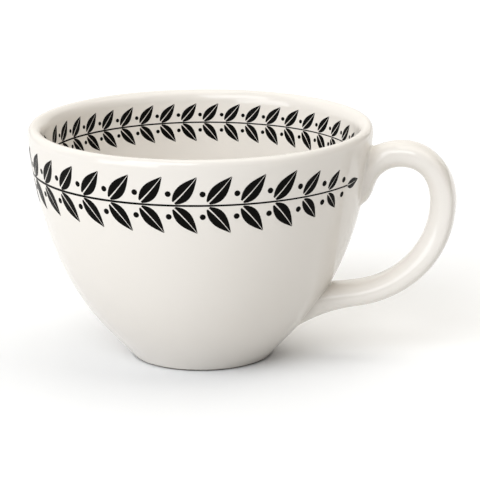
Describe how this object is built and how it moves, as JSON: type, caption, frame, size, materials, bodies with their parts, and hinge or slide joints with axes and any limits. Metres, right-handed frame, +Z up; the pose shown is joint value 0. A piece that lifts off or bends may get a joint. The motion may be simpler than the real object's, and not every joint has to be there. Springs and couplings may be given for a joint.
{
  "type": "cafe au lait cup",
  "caption": "Wide round-bellied coffee cup in cream glazed stoneware, with a rounded lip, a small turned foot ring and an ear-shaped loop handle bonded to its side.",
  "frame": {"origin": "on the table plane, under the middle of the cup's bounding box", "axes": "+Z up out of the mouth, +X from the bowl towards the handle, +Y across"},
  "size_m": [0.1492, 0.12, 0.0825],
  "materials": {
    "cream_glaze": "gloss",
    "fired_slip": "satin",
    "black_print": "gloss"
  },
  "bodies": {
    "root": {"bowl": "cream_glaze", "handle": "cream_glaze", "upper_slip_joint": "fired_slip", "lower_slip_joint": "fired_slip"}
  },
  "joints": []
}
